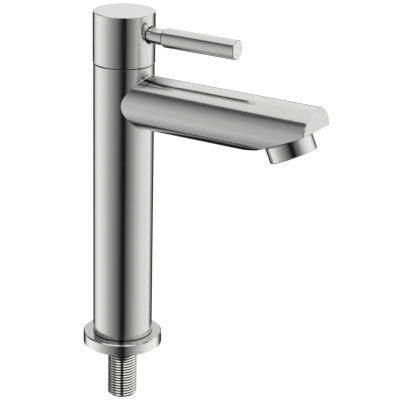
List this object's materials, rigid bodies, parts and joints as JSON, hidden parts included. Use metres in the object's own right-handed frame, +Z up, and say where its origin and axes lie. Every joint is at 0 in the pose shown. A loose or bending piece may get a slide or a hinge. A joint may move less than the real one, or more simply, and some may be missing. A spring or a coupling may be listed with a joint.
{
  "type": "basin faucet",
  "caption": "Tall single basin tap in brushed stainless steel: round column on a flange, straight tube spout with slanted sole and aerator, turning cap with a rod lever, threaded tail.",
  "frame": {"origin": "centre of the base flange's underside, on the deck", "axes": "+Z up the column, +X along the spout and along the lever at rest"},
  "size_m": [0.1782, 0.0566, 0.2871],
  "materials": {
    "brushed_stainless": "fine satin brushed stainless steel",
    "turned_stainless": "plain turned stainless steel",
    "thread_steel": "bright rolled thread",
    "brass": "turned brass",
    "rubber": "black EPDM rubber",
    "grey_plastic": "dark acetal",
    "white_plastic": "white acetal",
    "ceramic": "polished alumina ceramic"
  },
  "bodies": {
    "root": {"base_flange": "brushed_stainless", "flange_o_ring": "rubber", "column_tube": "brushed_stainless", "base_plug": "turned_stainless", "threaded_tail": "thread_steel", "riser_pipe": "turned_stainless", "valve_housing": "turned_stainless", "bonnet_o_ring": "rubber", "cartridge_body": "brass", "fixed_disc": "ceramic", "seat_seal": "rubber", "glide_ring": "grey_plastic", "spout_tube": "brushed_stainless", "spout_end_plate": "brushed_stainless", "spout_sole_plate": "brushed_stainless", "aerator_bush": "turned_stainless", "aerator_washer": "rubber", "aerator_housing": "brushed_stainless", "aerator_insert": "white_plastic", "aerator_grid": "turned_stainless"},
    "handle": {"handle_cap": "brushed_stainless", "lever_neck": "brushed_stainless", "lever_grip": "brushed_stainless", "spline_hub": "brass", "hub_screw": "turned_stainless", "spindle": "brass", "spindle_o_ring": "rubber", "stop_ring": "white_plastic", "moving_disc": "ceramic"}
  },
  "joints": [
    {"name": "handle_turn", "type": "hinge", "parent": "root", "child": "handle", "pos_m": [0, 0, 0.2096], "axis": [0, 0, 1], "range_deg": [0, 90]}
  ]
}
